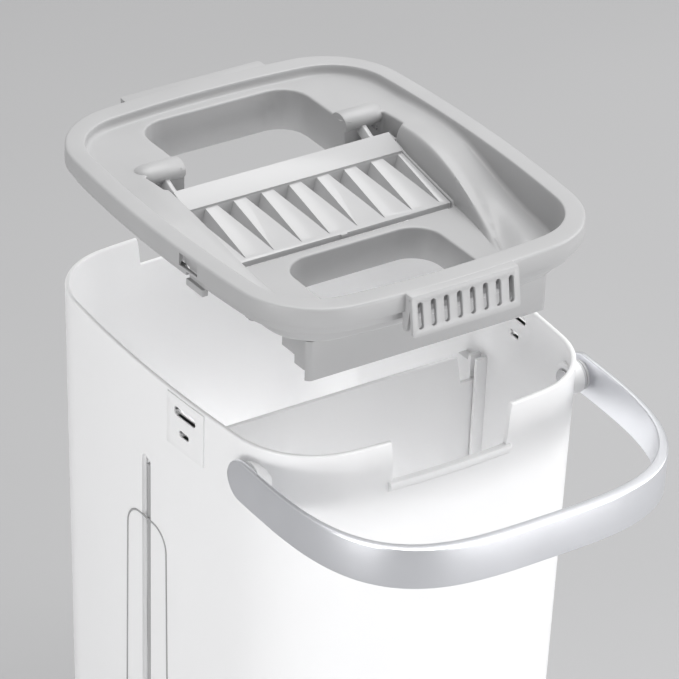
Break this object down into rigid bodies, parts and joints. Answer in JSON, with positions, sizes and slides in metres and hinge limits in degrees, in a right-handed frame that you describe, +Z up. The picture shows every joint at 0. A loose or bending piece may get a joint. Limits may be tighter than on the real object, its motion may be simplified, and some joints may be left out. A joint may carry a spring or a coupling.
{
  "type": "flat mop bucket with wringer lid",
  "caption": "Tall flat-mop bucket with a lift-off lid that carries wash and wringing openings and a sprung, finned pressing plate, and a swinging band handle.",
  "frame": {"origin": "middle of the bucket's underside, on the floor", "axes": "+Z up, -Y toward the front short side with the finger notch and the handle, +X across the bucket"},
  "size_m": [0.224, 0.3563, 0.448],
  "materials": {
    "bucket_plastic": "smooth, slightly see-through white",
    "divider_plastic": "smooth white",
    "bush_plastic": "satin grey",
    "handle_metal": "satin silver",
    "pin_steel": "bright",
    "lid_plastic": "fine satin light grey",
    "skirt_plastic": "fine satin grey",
    "plate_plastic": "smooth white",
    "blade_rubber": "soft dark grey"
  },
  "bodies": {
    "bucket": {"bucket_shell": "bucket_plastic", "divider": "divider_plastic", "pivot_bush_left": "bush_plastic", "pivot_bush_right": "bush_plastic"},
    "handle": {"handle_band": "handle_metal", "handle_pin_left": "pin_steel", "handle_pin_right": "pin_steel", "handle_washer_left": "bush_plastic", "handle_washer_right": "bush_plastic"},
    "lid": {"lid_frame": "lid_plastic", "wringer_skirt": "skirt_plastic", "skirt_screws": "pin_steel", "scraper_bar": "skirt_plastic", "scraper_blade": "blade_rubber", "wash_comb": "plate_plastic", "hinge_pin_left": "pin_steel", "hinge_pin_right": "pin_steel", "torsion_spring_left": "pin_steel", "torsion_spring_right": "pin_steel"},
    "plate": {"wringer_plate": "plate_plastic"},
    "clip_left": {"side_clip_left": "lid_plastic"},
    "clip_right": {"side_clip_right": "lid_plastic"}
  },
  "joints": [
    {"name": "lid_lift", "type": "slide", "parent": "bucket", "child": "lid", "axis": [0, 0, 1], "range_m": [-0.0767, 0]},
    {"name": "handle_swing", "type": "hinge", "parent": "bucket", "child": "handle", "pos_m": [0, -0.097, 0.341], "axis": [1, 0, 0], "range_deg": [-62, 65]},
    {"name": "plate_tilt", "type": "hinge", "parent": "lid", "child": "plate", "pos_m": [0, 0.062, 0.439], "axis": [1, 0, 0], "range_deg": [0, 10], "stiffness_Nm_per_rad": 1.5, "springref_deg": -3.44},
    {"name": "clip_left_slide", "type": "slide", "parent": "lid", "child": "clip_left", "axis": [-1, 0, 0], "range_m": [0, 0.0024]},
    {"name": "clip_right_slide", "type": "slide", "parent": "lid", "child": "clip_right", "axis": [1, 0, 0], "range_m": [0, 0.0024]}
  ]
}
